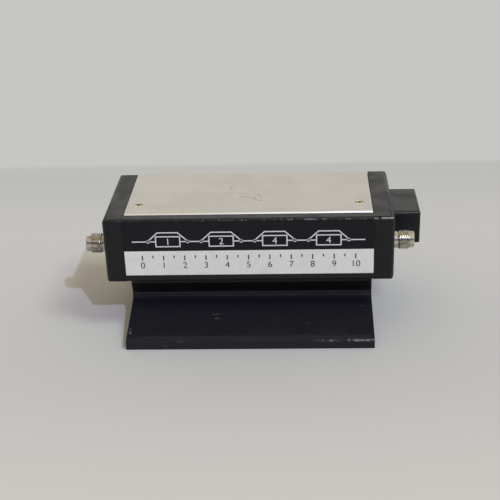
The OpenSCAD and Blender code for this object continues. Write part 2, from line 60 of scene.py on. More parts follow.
WELD_MM = 0.001
BREAK_SEGMENTS = 3
BREAK_ANGLE_DEG = 40.0

Colour = tuple[float, float, float, float]
Triple = tuple[float, float, float]
Pair = tuple[float, float]
Socket = bpy.types.NodeSocket


def srgb(red: int, green: int, blue: int) -> Colour:
    """Turns a display colour into a linear one.

    Args:
        red: Display red from 0 to 255.
        green: Display green from 0 to 255.
        blue: Display blue from 0 to 255.

    Returns:
        The linear colour, with an alpha of one.
    """
    shares = [value / 255 for value in (red, green, blue)]
    linear = [s / 12.92 if s <= 0.04045 else ((s + 0.055) / 1.055) ** 2.4 for s in shares]
    return (*linear, 1.0)


class Wires:
    """Places nodes in one node tree and links them by plain calls."""

    MIX_FIRST = 6
    MIX_SECOND = 7
    MIX_RESULT = 2

    def __init__(self, tree: bpy.types.NodeTree) -> None:
        """Takes the tree that the nodes go into."""
        self.tree = tree

    def add(self, kind: str, **settings: object) -> bpy.types.Node:
        """Adds a node.

        Args:
            kind: The node's type name.
            settings: Properties to set on the node.

        Returns:
            The new node.
        """
        node = self.tree.nodes.new(kind)
        for name, value in settings.items():
            setattr(node, name, value)
        return node

    def feed(self, socket: Socket, value: object) -> None:
        """Links an output into a socket, or sets a constant on it.

        Args:
            socket: The input socket.
            value: An output socket, or the constant.
        """
        if isinstance(value, Socket):
            self.tree.links.new(value, socket)
        else:
            socket.default_value = value

    def math(self, operation: str, *values: object, clamp: bool = False) -> Socket:
        """Adds a scalar operation.

        Args:
            operation: Its name.
            values: What it works on, in order.
            clamp: Whether the result stays from 0 to 1.

        Returns:
            The result.
        """
        node = self.add("ShaderNodeMath", operation=operation, use_clamp=clamp)
        for socket, value in zip(node.inputs, values):
            self.feed(socket, value)
        return node.outputs[0]

    def vector(self, operation: str, *values: object, out: str = "Vector") -> Socket:
        """Adds a vector operation.

        Args:
            operation: Its name.
            values: What it works on, in order.
            out: Which of its outputs is wanted.

        Returns:
            That output.
        """
        node = self.add("ShaderNodeVectorMath", operation=operation)
        for socket, value in zip(node.inputs, values):
            self.feed(socket, value)
        return node.outputs[out]

    def scaled(self, place: Socket, factor: object) -> Socket:
        """Multiplies a place by a number.

        Args:
            place: The place.
            factor: The number.

        Returns:
            The scaled place.
        """
        node = self.add("ShaderNodeVectorMath", operation="SCALE")
        self.feed(node.inputs["Vector"], place)
        self.feed(node.inputs["Scale"], factor)
        return node.outputs["Vector"]

    def split(self, place: Socket) -> Sequence[Socket]:
        """Takes a place apart.

        Args:
            place: The place.

        Returns:
            Its x, y and z.
        """
        node = self.add("ShaderNodeSeparateXYZ")
        self.feed(node.inputs[0], place)
        return node.outputs

    def remap(self, value: Socket, start: object, end: object, low: object = 0.0,
              high: object = 1.0) -> Socket:
        """Maps a value smoothly from one range to another.

        Args:
            value: What is mapped.
            start: The value that gives low.
            end: The value that gives high.
            low: The result at start and before it.
            high: The result at end and after it.

        Returns:
            The mapped value.
        """
        node = self.add("ShaderNodeMapRange", interpolation_type="SMOOTHSTEP")
        for socket, given in zip(node.inputs, (value, start, end, low, high)):
            self.feed(socket, given)
        return node.outputs[0]

    def noise(self, place: Socket, scale: object, detail: float = 3.0, warp: float = 0.0) -> Socket:
        """Adds a cloud pattern.

        Args:
            place: Where it is read.
            scale: How many clouds there are in a unit of length.
            detail: How many finer layers it has.
            warp: How far it is swirled.

        Returns:
            Its value.
        """
        node = self.add("ShaderNodeTexNoise")
        self.feed(node.inputs["Vector"], place)
        self.feed(node.inputs["Scale"], scale)
        node.inputs["Detail"].default_value = detail
        node.inputs["Distortion"].default_value = warp
        return node.outputs[0]

    def mix(self, share: Socket, first: object, second: object) -> Socket:
        """Mixes two colours.

        Args:
            share: The second colour's share.
            first: The first colour.
            second: The second colour.

        Returns:
            The mixed colour.
        """
        node = self.add("ShaderNodeMix", data_type="RGBA")
        self.feed(node.inputs[0], share)
        self.feed(node.inputs[self.MIX_FIRST], first)
        self.feed(node.inputs[self.MIX_SECOND], second)
        return node.outputs[self.MIX_RESULT]

    def bump(self, height: Socket, depth_mm: float, under: Socket | None = None) -> Socket:
        """Turns a height into a normal.

        Args:
            height: Height from 0 to 1.
            depth_mm: Depth of a height of one.
            under: A normal that this one is laid over.

        Returns:
            The normal.
        """
        node = self.add("ShaderNodeBump")
        node.inputs["Distance"].default_value = depth_mm * MM
        self.feed(node.inputs["Height"], height)
        if under is not None:
            self.feed(node.inputs["Normal"], under)
        return node.outputs["Normal"]

    def effect(self, effect: "Effect", **inputs: object) -> bpy.types.Node:
        """Places a shared effect with its own values.

        Args:
            effect: Which effect.
            inputs: Values or sockets, by the names of its inputs.

        Returns:
            The group node.
        """
        node = self.add("ShaderNodeGroup", node_tree=EFFECTS.get(effect))
        for name, value in inputs.items():
            self.feed(node.inputs[name], value)
        return node


class Effect(Enum):
    """Surface effects that several finishes share."""

    GRAIN = "fine_grain"
    SMUDGE = "handling_smudge"
    SPECKS = "dust_specks"
    SCUFF = "wear_and_shade_stroke"
    CHIPS = "edge_chips"
    HAIRLINES = "hairlines"


class EffectLibrary:
    """Makes each shared effect once, as a shader node group. Places in it are in millimetres.

    A span is the stretch of a pattern that becomes 0 to 1, and a scale counts features in a millimetre.
    """

    DRIFT_SHARE = 0.09
    TONE_SPAN = (0.3, 0.7)
    PATCH_SPAN = (0.38, 0.66)
    SPECK_SPAN = (0.55, 1.0)
    BREAK_SCALE = 2.2
    BREAK_SPAN = (0.42, 0.6)
    FLAKE_SCALE = 1.3
    FLAKE_SHARE = 0.6
    RUN_SCALE = 0.22
    CHIP_LIMITS = (0.72, 0.36)
    CHIP_FADE = 0.05
    STREAK_SHARE = 0.3

    def __init__(self) -> None:
        """Starts with no effect made."""
        self._made: dict[Effect, bpy.types.ShaderNodeTree] = {}

    def get(self, effect: Effect) -> bpy.types.ShaderNodeTree:
        """Gives an effect's group, making it on first use.

        Args:
            effect: Which effect.

        Returns:
            Its group.
        """
        if effect not in self._made:
            makers: dict[Effect, Callable[[], bpy.types.ShaderNodeTree]] = {
                Effect.GRAIN: self._grain,
                Effect.SMUDGE: self._smudge,
                Effect.SPECKS: self._specks,
                Effect.SCUFF: self._scuff,
                Effect.CHIPS: self._chips,
                Effect.HAIRLINES: self._hairlines,
            }
            self._made[effect] = makers[effect]()
        return self._made[effect]

    @staticmethod
    def _start(effect: Effect, vectors: Sequence[str], numbers: Sequence[str],
               outputs: Sequence[str]) -> tuple[Wires, Mapping[str, Socket], Mapping[str, Socket]]:
        """Starts a group.

        Args:
            effect: Which effect the group makes.
            vectors: Names of its vector inputs.
            numbers: Names of its number inputs.
            outputs: Names of its outputs.

        Returns:
            The group's wires, its input sockets and its output sockets by name.
        """
        tree = bpy.data.node_groups.new(effect.value, "ShaderNodeTree")
        for name in vectors:
            tree.interface.new_socket(name, in_out="INPUT", socket_type="NodeSocketVector")
        for name in numbers:
            tree.interface.new_socket(name, in_out="INPUT", socket_type="NodeSocketFloat")
        for name in outputs:
            tree.interface.new_socket(name, in_out="OUTPUT", socket_type="NodeSocketFloat")
        wires = Wires(tree)
        return wires, wires.add("NodeGroupInput").outputs, wires.add("NodeGroupOutput").inputs

    def _grain(self) -> bpy.types.ShaderNodeTree:
        """Fine pits of a coating, with a slow drift of tone.

        Returns:
            The effect's group.
        """
        wires, given, out = self._start(Effect.GRAIN, ["Place"], ["Size"], ["Height", "Tone"])
        scale = wires.math("DIVIDE", 1.0, given["Size"])
        wires.feed(out["Height"], wires.noise(given["Place"], scale, detail=2.0))
        drift = wires.noise(given["Place"], wires.math("MULTIPLY", scale, self.DRIFT_SHARE), detail=4.0)
        wires.feed(out["Tone"], wires.remap(drift, *self.TONE_SPAN))
        return wires.tree

    def _smudge(self) -> bpy.types.ShaderNodeTree:
        """Blurred patches that handling leaves in a gloss.

        Returns:
            The effect's group.
        """
        wires, given, out = self._start(Effect.SMUDGE, ["Place"], ["Size"], ["Amount"])
        scale = wires.math("DIVIDE", 1.0, given["Size"])
        patches = wires.noise(given["Place"], scale, detail=4.0, warp=0.6)
        wires.feed(out["Amount"], wires.remap(patches, *self.PATCH_SPAN))
        return wires.tree

    def _specks(self) -> bpy.types.ShaderNodeTree:
        """Scattered specks of dust, each of its own size.

        Returns:
            The effect's group.
        """
        wires, given, out = self._start(Effect.SPECKS, ["Place"], ["Spacing", "Size"], ["Mask"])
        cells = wires.add("ShaderNodeTexVoronoi")
        wires.feed(cells.inputs["Vector"], given["Place"])
        wires.feed(cells.inputs["Scale"], wires.math("DIVIDE", 1.0, given["Spacing"]))
        chance = wires.split(cells.outputs["Color"])[0]
        radius = wires.math("DIVIDE", given["Size"], given["Spacing"])
        radius = wires.math("MULTIPLY", radius, wires.remap(chance, *self.SPECK_SPAN))
        wires.feed(out["Mask"], wires.remap(cells.outputs["Distance"], radius, 0.0))
        return wires.tree

    def _scuff(self) -> bpy.types.ShaderNodeTree:
        """One stroke from a start to an end, broken up along its way: wear and stains on most finishes,
        painted shade on the cover screws.

        Returns:
            The effect's group.
        """
        wires, given, out = self._start(Effect.SCUFF, ["Place", "Start", "End"], ["Width"], ["Mask"])
        run = wires.vector("SUBTRACT", given["End"], given["Start"])
        reach = wires.vector("SUBTRACT", given["Place"], given["Start"])
        along = wires.math("DIVIDE", wires.vector("DOT_PRODUCT", reach, run, out="Value"),
                           wires.vector("DOT_PRODUCT", run, run, out="Value"), clamp=True)
        away = wires.vector("DISTANCE", reach, wires.scaled(run, along), out="Value")
        band = wires.remap(away, given["Width"], 0.0)
        broken = wires.noise(given["Place"], self.BREAK_SCALE)
        wires.feed(out["Mask"], wires.math("MULTIPLY", band, wires.remap(broken, *self.BREAK_SPAN)))
        return wires.tree

    def _chips(self) -> bpy.types.ShaderNodeTree:
        """Chips of a coating along an edge, more of them as the amount grows.

        Returns:
            The effect's group.
        """
        wires, given, out = self._start(Effect.CHIPS, ["Place"], ["Away", "Reach", "Amount"], ["Mask"])
        near = wires.remap(given["Away"], given["Reach"], 0.0)
        flakes = wires.noise(given["Place"], self.FLAKE_SCALE, detail=4.0, warp=0.4)
        runs = wires.noise(given["Place"], self.RUN_SCALE, detail=2.0)
        rough = wires.math("ADD", wires.math("MULTIPLY", flakes, self.FLAKE_SHARE),
                           wires.math("MULTIPLY", runs, 1 - self.FLAKE_SHARE))
        limit = wires.remap(given["Amount"], 0.0, 1.0, *self.CHIP_LIMITS)
        bare = wires.remap(rough, limit, wires.math("ADD", limit, self.CHIP_FADE))
        wires.feed(out["Mask"], wires.math("MULTIPLY", bare, near))
        return wires.tree

    def _hairlines(self) -> bpy.types.ShaderNodeTree:
        """Fine parallel marks of rolling, brushing or turning, drawn out by a stretch.

        Returns:
            The effect's group.
        """
        wires, given, out = self._start(Effect.HAIRLINES, ["Place", "Stretch"], [], ["Height", "Tone"])
        drawn = wires.vector("MULTIPLY", given["Place"], given["Stretch"])
        wires.feed(out["Height"], wires.noise(drawn, 1.0))
        streaks = wires.noise(drawn, self.STREAK_SHARE, detail=4.0)
        wires.feed(out["Tone"], wires.remap(streaks, *self.TONE_SPAN))
        return wires.tree


EFFECTS = EffectLibrary()


@dataclass(frozen=True)
class Scuff:
    """A stroke between two places, with its width and strength: wear and stains on most finishes, painted
    shade on the cover screws.
    """

    start_mm: Triple
    end_mm: Triple
    width_mm: float
    strength: float


@dataclass(frozen=True)
class WornEdge:
    """A straight edge along X with a band along it, by one amount on its left and another on its right:
    chipped wear on the coatings, a painted highlight on the cover sheet.
    """

    y_mm: float
    z_mm: float
    reach_mm: float
    left: float
    right: float
    from_mm: float = -45.0
    to_mm: float = 45.0


def scuff_masks(wires: Wires, place: Socket, scuffs: Sequence[Scuff]) -> list[Socket]:
    """Gives the mask of each stroke, of wear and of painted shade alike.

    Args:
        wires: The material's wires.
        place: The place on the object, in millimetres.
        scuffs: The strokes.

    Returns:
        One mask for each stroke, times its strength.
    """
    masks = []
    for scuff in scuffs:
        stroke = wires.effect(Effect.SCUFF, Place=place, Start=scuff.start_mm, End=scuff.end_mm,
                              Width=scuff.width_mm)
        masks.append(wires.math("MULTIPLY", stroke.outputs["Mask"], scuff.strength))
    return masks


def edge_reach(wires: Wires, place: Socket, edge: WornEdge) -> tuple[Socket, Socket]:
    """Measures from an edge band, which is wear on the coatings and a painted highlight on the cover sheet.

    Args:
        wires: The material's wires.
        place: The place on the object, in millimetres.
        edge: The edge.

    Returns:
        The distance from the edge in millimetres, and how strong the edge's band is there.
    """
    across = wires.vector("MULTIPLY", place, (0.0, 1.0, 1.0))
    away = wires.vector("DISTANCE", across, (0.0, edge.y_mm, edge.z_mm), out="Value")
    amount = wires.remap(wires.split(place)[0], edge.from_mm, edge.to_mm, edge.left, edge.right)
    return away, amount


@dataclass(frozen=True)
class Finish:
    """A surface finish: its plain values, and how they become a material."""

    name: str
    colour: Colour
    roughness: float = 0.5
    metallic: float = 0.0
    specular: float = 0.5
    gloss_spread: float = 0.10

    def material(self) -> bpy.types.Material:
        """Gives the finish's material, making it on first use.

        Returns:
            The material.
        """
        known = bpy.data.materials.get(self.name)
        if known is not None:
            return known
        made = bpy.data.materials.new(self.name)
        made.use_nodes = True
        wires = Wires(made.node_tree)
        shader = made.node_tree.nodes["Principled BSDF"]
        shader.inputs["Metallic"].default_value = self.metallic
        shader.inputs["Specular IOR Level"].default_value = self.specular
        place = wires.scaled(wires.add("ShaderNodeTexCoord").outputs["Object"], 1 / MM)
        self.lay(wires, shader, place)
        return made

    def lay(self, wires: Wires, shader: bpy.types.Node, place: Socket) -> None:
        """Lays the finish on a shader.

        Args:
            wires: The material's wires.
            shader: Its Principled BSDF.
            place: The place on the object, in millimetres.
        """
        raise NotImplementedError

    def vary_gloss(self, wires: Wires, shader: bpy.types.Node, amount: Socket) -> None:
        """Lets an amount from 0 to 1 move the roughness about its plain value."""
        low, high = self.roughness - self.gloss_spread / 2, self.roughness + self.gloss_spread / 2
        wires.feed(shader.inputs["Roughness"], wires.remap(amount, 0.0, 1.0, low, high))


@dataclass(frozen=True)
class Coating(Finish):
    """Black paint or anodising: fine grain, handling marks, dust, and chips along worn edges."""

    light: Colour = srgb(48, 48, 50)
    bare: Colour = srgb(150, 148, 145)
    gloss_spread: float = 0.12
    grain_mm: float = 0.16
    grain_depth_mm: float = 0.006
    tone_share: float = 0.25
    smudge_mm: float = 9.0
    speck_gap_mm: float = 2.6
    speck_mm: float = 0.22
    dust: float = 0.5
    chip_depth_mm: float = 0.03
    edges: tuple[WornEdge, ...] = ()
    scuffs: tuple[Scuff, ...] = ()

    def lay(self, wires: Wires, shader: bpy.types.Node, place: Socket) -> None:
        """Lays grain, smudges, dust, chips and strokes of wear on the shader.

        Args:
            wires: The material's wires.
            shader: Its Principled BSDF.
            place: The place on the object, in millimetres.
        """
        grain = wires.effect(Effect.GRAIN, Place=place, Size=self.grain_mm)
        smudge = wires.effect(Effect.SMUDGE, Place=place, Size=self.smudge_mm)
        specks = wires.effect(Effect.SPECKS, Place=place, Spacing=self.speck_gap_mm, Size=self.speck_mm)
        share = wires.math("MULTIPLY", grain.outputs["Tone"], self.tone_share)
        tone = wires.mix(share, self.colour, self.light)
        tone = wires.mix(wires.math("MULTIPLY", specks.outputs["Mask"], self.dust), tone, self.bare)
        worn: Socket | None = None
        for mask in [*self._chipped(wires, place), *scuff_masks(wires, place, self.scuffs)]:
            worn = mask if worn is None else wires.math("MAXIMUM", worn, mask)
        if worn is not None:
            tone = wires.mix(worn, tone, self.bare)
        wires.feed(shader.inputs["Base Color"], tone)
        self.vary_gloss(wires, shader, smudge.outputs["Amount"])
        normal = wires.bump(grain.outputs["Height"], self.grain_depth_mm)
        if worn is not None:
            normal = wires.bump(wires.math("SUBTRACT", 1.0, worn), self.chip_depth_mm, normal)
        wires.feed(shader.inputs["Normal"], normal)

    def _chipped(self, wires: Wires, place: Socket) -> list[Socket]:
        """Gives the chip mask of each worn edge.

        Args:
            wires: The material's wires.
            place: The place on the object, in millimetres.

        Returns:
            The masks.
        """
        masks = []
        for edge in self.edges:
            away, amount = edge_reach(wires, place, edge)
            chips = wires.effect(Effect.CHIPS, Place=place, Away=away, Reach=edge.reach_mm, Amount=amount)
            masks.append(chips.outputs["Mask"])
        return masks


@dataclass(frozen=True)
class RolledSheet(Finish):
    """Bare rolled sheet metal: hairlines along X, handling marks, faint stains and a near-white painted
    highlight along given edges.
    """

    dull: Colour = srgb(176, 170, 156)
    stain: Colour = srgb(104, 100, 94)
    # Near-white colour of the painted highlight laid along an edge.
    rubbed: Colour = srgb(246, 245, 242)
    gloss_spread: float = 0.06
    stretch: Triple = (0.05, 3.0, 3.0)
    line_share: float = 0.3
    line_depth_mm: float = 0.001
    smudge_mm: float = 14.0
    smudge_share: float = 0.2
    speck_gap_mm: float = 5.0
    speck_mm: float = 0.3
    speck_share: float = 0.3
    scuffs: tuple[Scuff, ...] = ()
    edges: tuple[WornEdge, ...] = ()

    def lay(self, wires: Wires, shader: bpy.types.Node, place: Socket) -> None:
        """Lays hairlines, smudges, stains and painted edge highlights on the shader.

        Args:
            wires: The material's wires.
            shader: Its Principled BSDF.
            place: The place on the object, in millimetres.
        """
        lines = wires.effect(Effect.HAIRLINES, Place=place, Stretch=self.stretch)
        smudge = wires.effect(Effect.SMUDGE, Place=place, Size=self.smudge_mm)
        specks = wires.effect(Effect.SPECKS, Place=place, Spacing=self.speck_gap_mm, Size=self.speck_mm)
        shade = wires.math("MULTIPLY", lines.outputs["Tone"], self.line_share)
        shade = wires.math("ADD", shade, wires.math("MULTIPLY", smudge.outputs["Amount"], self.smudge_share))
        dust = wires.math("MULTIPLY", specks.outputs["Mask"], self.speck_share)
        shade = wires.math("ADD", shade, dust, clamp=True)
        tone = wires.mix(shade, self.colour, self.dull)
        for mask in scuff_masks(wires, place, self.scuffs):
            tone = wires.mix(mask, tone, self.stain)
        # Painted highlight: a near-white band along each edge, in place of the light that its rounded edge
        # catches.
        for edge in self.edges:
            away, amount = edge_reach(wires, place, edge)
            near = wires.remap(away, edge.reach_mm, 0.0)
            tone = wires.mix(wires.math("MULTIPLY", near, amount), tone, self.rubbed)
        wires.feed(shader.inputs["Base Color"], tone)
        self.vary_gloss(wires, shader, smudge.outputs["Amount"])
        wires.feed(shader.inputs["Normal"], wires.bump(lines.outputs["Height"], self.line_depth_mm))


@dataclass(frozen=True)
class TurnedMetal(Finish):
    """Turned or plated metal: tool marks drawn out by a stretch, tarnish in patches, and strokes of painted
    shade.
    """

    tarnish: Colour = srgb(120, 100, 78)
    tarnish_share: float = 0.35
    gloss_spread: float = 0.12
    smudge_mm: float = 1.6
    stretch: Triple = (14.0, 0.4, 0.4)
    mark_depth_mm: float = 0.002
    # Colour of the painted shade laid in strokes.
    grime: Colour = srgb(44, 34, 22)
    scuffs: tuple[Scuff, ...] = ()

    def lay(self, wires: Wires, shader: bpy.types.Node, place: Socket) -> None:
        """Lays tool marks, tarnish and strokes of painted shade on the shader.

        Args:
            wires: The material's wires.
            shader: Its Principled BSDF.
            place: The place on the object, in millimetres.
        """
        marks = wires.effect(Effect.HAIRLINES, Place=place, Stretch=self.stretch)
        smudge = wires.effect(Effect.SMUDGE, Place=place, Size=self.smudge_mm)
        share = wires.math("MULTIPLY", smudge.outputs["Amount"], self.tarnish_share)
        tone = wires.mix(share, self.colour, self.tarnish)
        # Each stroke paints shade into the metal's colour.
        for mask in scuff_masks(wires, place, self.scuffs):
            tone = wires.mix(mask, tone, self.grime)
        wires.feed(shader.inputs["Base Color"], tone)
        self.vary_gloss(wires, shader, smudge.outputs["Amount"])
        wires.feed(shader.inputs["Normal"], wires.bump(marks.outputs["Height"], self.mark_depth_mm))


@dataclass(frozen=True)
class LabelFilm(Finish):
    """Printed label film: a fine surface, a mottled tone and a little soiling."""

    soiled: Colour = srgb(120, 116, 108)
    soil: float = 0.2
    grain_mm: float = 0.12
    grain_depth_mm: float = 0.003
    smudge_mm: float = 7.0

    def lay(self, wires: Wires, shader: bpy.types.Node, place: Socket) -> None:
        """Lays the mottle and the soiling on the shader.

        Args:
            wires: The material's wires.
            shader: Its Principled BSDF.
            place: The place on the object, in millimetres.
        """
        grain = wires.effect(Effect.GRAIN, Place=place, Size=self.grain_mm)
        smudge = wires.effect(Effect.SMUDGE, Place=place, Size=self.smudge_mm)
        share = wires.math("MULTIPLY", grain.outputs["Tone"], self.soil / 2)
        share = wires.math("ADD", share, wires.math("MULTIPLY", smudge.outputs["Amount"], self.soil / 2))
        wires.feed(shader.inputs["Base Color"], wires.mix(share, self.colour, self.soiled))
        self.vary_gloss(wires, shader, smudge.outputs["Amount"])
        wires.feed(shader.inputs["Normal"], wires.bump(grain.outputs["Height"], self.grain_depth_mm))


@dataclass(frozen=True)
class PrintInk(Finish):
    """Printed ink, slightly uneven in tone."""

    thin: Colour = srgb(120, 120, 120)
    thin_share: float = 0.22
    grain_mm: float = 0.2

    def lay(self, wires: Wires, shader: bpy.types.Node, place: Socket) -> None:
        """Lays the uneven tone on the shader.

        Args:
            wires: The material's wires.
            shader: Its Principled BSDF.
            place: The place on the object, in millimetres.
        """
        grain = wires.effect(Effect.GRAIN, Place=place, Size=self.grain_mm)
        share = wires.math("MULTIPLY", grain.outputs["Height"], self.thin_share)
        wires.feed(shader.inputs["Base Color"], wires.mix(share, self.colour, self.thin))
        self.vary_gloss(wires, shader, grain.outputs["Tone"])


@dataclass(frozen=True)
class Moulding(Finish):
    """Moulded plastic or ceramic: a fine texture and a soft change of tone."""

    worn: Colour = srgb(90, 90, 92)
    tone_share: float = 0.2
    grain_mm: float = 0.2
    grain_depth_mm: float = 0.006

    def lay(self, wires: Wires, shader: bpy.types.Node, place: Socket) -> None:
        """Lays the texture and the tone on the shader.

        Args:
            wires: The material's wires.
            shader: Its Principled BSDF.
            place: The place on the object, in millimetres.
        """
        grain = wires.effect(Effect.GRAIN, Place=place, Size=self.grain_mm)
        share = wires.math("MULTIPLY", grain.outputs["Tone"], self.tone_share)
        wires.feed(shader.inputs["Base Color"], wires.mix(share, self.colour, self.worn))
        self.vary_gloss(wires, shader, grain.outputs["Tone"])
        wires.feed(shader.inputs["Normal"], wires.bump(grain.outputs["Height"], self.grain_depth_mm))


@dataclass(frozen=True)
class WoundWire(Finish):
    """Enamelled wire wound in close turns along Y."""

    turn_mm: float = 0.25
    turn_depth_mm: float = 0.1
    valley: Pair = (0.35, 0.0)
    valley_shade: Pair = (0.1, 0.8)
    shadow: Colour = srgb(70, 30, 14)
    gloss_spread: float = 0.12
    grain_mm: float = 0.3

    def lay(self, wires: Wires, shader: bpy.types.Node, place: Socket) -> None:
        """Lays the turns on the shader.

        Args:
            wires: The material's wires.
            shader: Its Principled BSDF.
            place: The place on the object, in millimetres.
        """
        phase = wires.math("MULTIPLY", wires.split(place)[1], 2 * math.pi / self.turn_mm)
        turn = wires.math("MULTIPLY_ADD", wires.math("SINE", phase), 0.5, 0.5)
        grain = wires.effect(Effect.GRAIN, Place=place, Size=self.grain_mm)
        shade = wires.remap(turn, *self.valley, *self.valley_shade)
        wires.feed(shader.inputs["Base Color"], wires.mix(shade, self.colour, self.shadow))
        self.vary_gloss(wires, shader, grain.outputs["Tone"])
        wires.feed(shader.inputs["Normal"], wires.bump(turn, self.turn_depth_mm))


@dataclass(frozen=True)
class Laminate(Finish):
    """Green circuit laminate with the raised runs of its tracks under the mask."""

    track: Colour = srgb(58, 112, 70)
    pitch_mm: float = 1.3
    scatter: float = 0.35
    track_span: Pair = (0.34, 0.42)
    track_depth_mm: float = 0.03
    grain_mm: float = 0.3

    def lay(self, wires: Wires, shader: bpy.types.Node, place: Socket) -> None:
        """Lays the tracks and the mask's tone on the shader.

        Args:
            wires: The material's wires.
            shader: Its Principled BSDF.
            place: The place on the object, in millimetres.
        """
        cells = wires.add("ShaderNodeTexVoronoi", distance="CHEBYCHEV", feature="F1")
        wires.feed(cells.inputs["Vector"], place)
        cells.inputs["Scale"].default_value = 1 / self.pitch_mm
        cells.inputs["Randomness"].default_value = self.scatter
        track = wires.remap(cells.outputs["Distance"], *self.track_span)
        grain = wires.effect(Effect.GRAIN, Place=place, Size=self.grain_mm)
        wires.feed(shader.inputs["Base Color"], wires.mix(track, self.colour, self.track))
        self.vary_gloss(wires, shader, grain.outputs["Tone"])
        wires.feed(shader.inputs["Normal"], wires.bump(track, self.track_depth_mm))


FOOT_EDGE = WornEdge(y_mm=-33.9, z_mm=3.2, reach_mm=0.7, left=0.15, right=0.6, from_mm=5.0, to_mm=30.0)
LEDGE_EDGE = WornEdge(y_mm=-21.1, z_mm=43.5, reach_mm=0.5, left=0.4, right=0.6)
CAP_EDGE = WornEdge(y_mm=-21.2, z_mm=43.6, reach_mm=0.5, left=0.2, right=0.7)
# The cover's front edge: a painted highlight, an even near-white band along its whole length.
SHEET_HIGHLIGHT_EDGE = WornEdge(y_mm=-16.9, z_mm=44.3, reach_mm=0.8, left=0.8, right=0.8)

STAND_PAINT = Coating(
    "stand_paint", srgb(29, 28, 33), roughness=0.21, specular=0.28, light=srgb(36, 35, 40),
    bare=srgb(126, 125, 126), dust=0.3, edges=(FOOT_EDGE,),
    scuffs=(
        Scuff((-14.0, -23.1, 6.2), (-12.8, -23.1, 6.2), 0.45, 0.8),
        Scuff((-15.4, -21.4, 6.7), (-11.8, -20.6, 6.8), 0.4, 0.35),
        Scuff((-44.1, -29.4, 4.7), (-43.7, -30.2, 4.5), 0.6, 0.95),
        Scuff((-44.0, -27.9, 5.0), (-43.6, -28.5, 4.9), 0.45, 0.6),
        Scuff((37.8, -17.2, 7.7), (38.7, -17.2, 7.7), 0.35, 0.5),
        Scuff((17.9, -26.0, 5.5), (19.4, -25.4, 5.7), 0.35, 0.25),
        Scuff((22.6, -33.8, 3.2), (28.6, -33.8, 3.2), 0.6, 0.35),
        Scuff((37.2, -33.8, 3.1), (42.4, -33.8, 3.1), 0.6, 0.3),
        Scuff((-32.3, -33.9, 1.4), (-30.6, -33.9, 1.3), 0.5, 0.35),
        Scuff((-26.8, -33.8, 3.2), (-24.8, -33.8, 3.2), 0.5, 0.25),
    ))
BLOCK_COAT = Coating("block_anodising", srgb(16, 16, 19), roughness=0.40, specular=0.35,
                     light=srgb(24, 24, 28), bare=srgb(104, 104, 106), dust=0.25, edges=(LEDGE_EDGE,),
                     scuffs=(Scuff((-26.3, -21.2, 43.2), (-25.6, -21.2, 43.1), 0.35, 0.5),))
CAP_COAT = Coating("cap_anodising", srgb(15, 15, 19), roughness=0.42, specular=0.32,
                   light=srgb(22, 22, 27), dust=0.2, edges=(CAP_EDGE,))
COVER_SHEET = RolledSheet(
    "cover_sheet", srgb(199, 197, 192), roughness=0.45, metallic=0.85, dull=srgb(188, 185, 178),
    scuffs=(
        Scuff((-8.7, 5.0, 44.6), (-8.1, 3.4, 44.6), 0.8, 0.7),
        Scuff((-9.7, 0.7, 44.6), (-7.4, 0.5, 44.6), 0.8, 0.6),
        Scuff((-6.3, 0.7, 44.6), (-2.5, -0.1, 44.6), 0.6, 0.4),
        Scuff((-5.1, -3.0, 44.6), (0.5, -4.2, 44.6), 0.7, 0.6),
        Scuff((1.5, -1.3, 44.6), (2.0, -2.6, 44.6), 0.8, 0.8),
        Scuff((0.6, -5.4, 44.6), (1.0, -6.8, 44.6), 0.7, 0.7),
        Scuff((1.7, -6.7, 44.6), (2.8, -7.1, 44.6), 0.8, 0.7),
    ), edges=(SHEET_HIGHLIGHT_EDGE,))
# The four strokes paint dark shade across the back half of each cover screw's head, standing in for the shade
# in and behind its recess.
GOLD_SCREW = TurnedMetal("gold_screw", srgb(242, 226, 192), roughness=0.3, metallic=1.0,
                         tarnish=srgb(178, 154, 116), stretch=(3.0, 3.0, 3.0),
                         scuffs=(
                             Scuff((-41.7, -9.0, 44.6), (-39.9, -9.1, 44.6), 0.9, 4.0),
                             Scuff((-40.2, -9.0, 44.6), (-39.1, -8.9, 44.6), 1.2, 4.0),
                             Scuff((35.8, -9.3, 44.6), (37.3, -9.3, 44.6), 1.0, 4.0),
                             Scuff((37.3, -9.3, 44.6), (38.6, -9.2, 44.6), 1.1, 4.0),
                         ))
DARK_SCREW = TurnedMetal("dark_screw", srgb(58, 58, 60), roughness=0.4, metallic=1.0,
                         tarnish=srgb(34, 32, 30), stretch=(3.0, 3.0, 3.0))
ZINC_SCREW = TurnedMetal("zinc_screw", srgb(186, 184, 178), roughness=0.34, metallic=1.0,
                         tarnish=srgb(120, 116, 106), stretch=(3.0, 3.0, 3.0))
PORT_STEEL = TurnedMetal("port_steel_turned", srgb(214, 210, 201), roughness=0.24, metallic=1.0,
                         tarnish=srgb(110, 99, 85), tarnish_share=0.5)
GOLD_CONTACT = TurnedMetal("gold_contact", srgb(236, 196, 104), roughness=0.28, metallic=1.0,
                           tarnish=srgb(190, 140, 60))
SPACER_BRASS = TurnedMetal("spacer_brass_turned", srgb(216, 186, 112), roughness=0.32, metallic=1.0,
                           stretch=(0.4, 14.0, 0.4))
SOFT_IRON = TurnedMetal("soft_iron_ground", srgb(168, 168, 170), roughness=0.4, metallic=1.0,
                        tarnish=srgb(112, 104, 96), stretch=(0.5, 8.0, 0.5))
MILLED_PLATE = RolledSheet("milled_plate", srgb(206, 202, 192), roughness=0.38, metallic=1.0,
                           stretch=(0.1, 2.0, 5.0))
PANEL_FILM = LabelFilm("panel_film", srgb(20, 20, 23), roughness=0.5, specular=0.2,
                       soiled=srgb(30, 30, 33), soil=0.5)
STRIP_FILM = LabelFilm("strip_film", srgb(239, 238, 226), roughness=0.55, specular=0.35,
                       soiled=srgb(208, 205, 195), soil=0.35)
